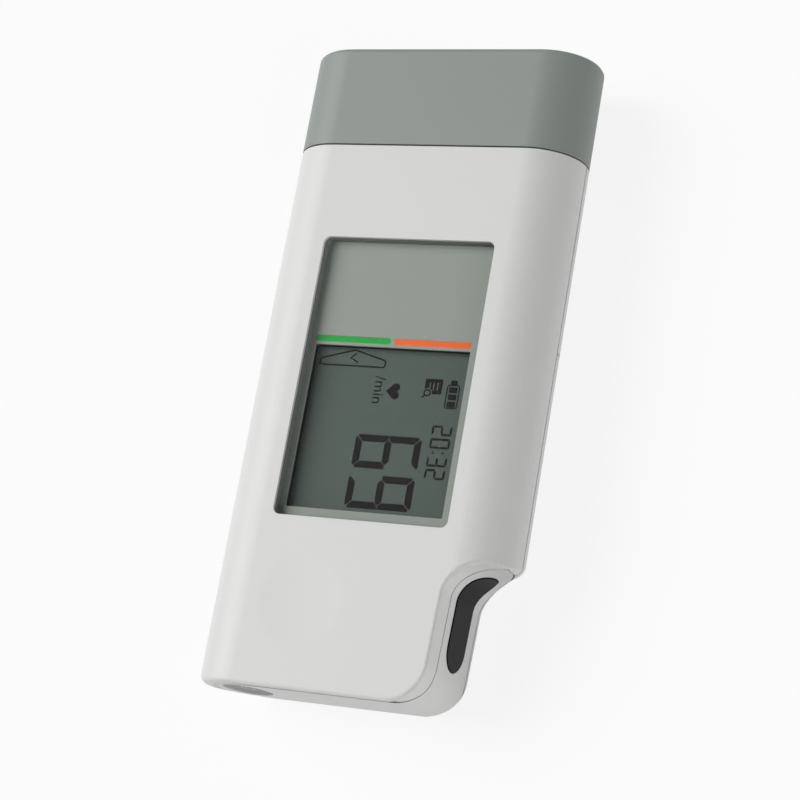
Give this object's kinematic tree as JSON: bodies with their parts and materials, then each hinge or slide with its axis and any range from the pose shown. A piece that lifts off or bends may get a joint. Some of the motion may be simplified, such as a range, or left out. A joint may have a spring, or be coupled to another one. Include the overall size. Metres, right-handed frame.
{
  "type": "ecg home monitor",
  "caption": "Hand-held heart-rhythm recorder with a display window, a finger recess with its electrode, a power button, a pull-off cap over the chest electrode and a slide-off battery door.",
  "frame": {"origin": "middle of the footprint, on the surface that the flat back rests on", "axes": "+X towards the finger recess, +Y along the case towards the cap, +Z out of the display face"},
  "size_m": [0.058, 0.125, 0.021],
  "materials": {
    "shell_white": "satin moulded plastic",
    "grip_plastic": "soft satin plastic",
    "cap_plastic": "satin grey-green plastic",
    "conductive_black": "satin carbon-filled conductive plastic",
    "button_plastic": "satin grey plastic",
    "inner_plastic": "plain moulded plastic",
    "clear_window": "clear polished sheet",
    "mask_print": "printed grey-green film",
    "lcd_cell": "grey-green liquid crystal cell",
    "strip_rubber": "layered conductive rubber",
    "board": "green circuit board",
    "chip_plastic": "black moulded package",
    "cell_jacket": "dark wrapped cell jacket",
    "contact_steel": "bright plated steel"
  },
  "bodies": {
    "housing": {"front_shell": "shell_white", "rear_shell": "shell_white", "grip_band": "grip_plastic", "finger_electrode": "conductive_black", "electrode_head": "inner_plastic", "chest_electrode": "contact_steel", "display_window": "clear_window", "window_mask": "mask_print", "lcd_glass": "lcd_cell", "lcd_holder": "inner_plastic", "zebra_strip_lower": "strip_rubber", "zebra_strip_upper": "strip_rubber", "main_board": "board", "processor_chip": "chip_plastic", "amplifier_chip": "chip_plastic", "power_switch": "contact_steel", "cell_left": "cell_jacket", "cell_right": "cell_jacket", "contact_bridge": "contact_steel", "contact_plus": "contact_steel", "contact_minus": "contact_steel", "spring_lower": "contact_steel", "spring_upper": "contact_steel", "finger_lead": "contact_steel", "chest_lead": "contact_steel", "screw_lower_left": "contact_steel", "screw_lower_right": "contact_steel", "screw_upper_left": "contact_steel", "screw_upper_right": "contact_steel"},
    "cap": {"protective_cap": "cap_plastic"},
    "button": {"power_button": "button_plastic", "switch_plunger": "chip_plastic"},
    "door": {"battery_door": "shell_white"}
  },
  "joints": [
    {"name": "cap_pull", "type": "slide", "parent": "housing", "child": "cap", "axis": [0, 1, 0], "range_m": [0, 0.025]},
    {"name": "power_press", "type": "slide", "parent": "housing", "child": "button", "axis": [0, 1, 0], "range_m": [0, 0.0005], "stiffness_N_per_m": 2000, "springref_m": -0.0005},
    {"name": "door_slide", "type": "slide", "parent": "housing", "child": "door", "axis": [0, -1, 0], "range_m": [0, 0.068]}
  ]
}
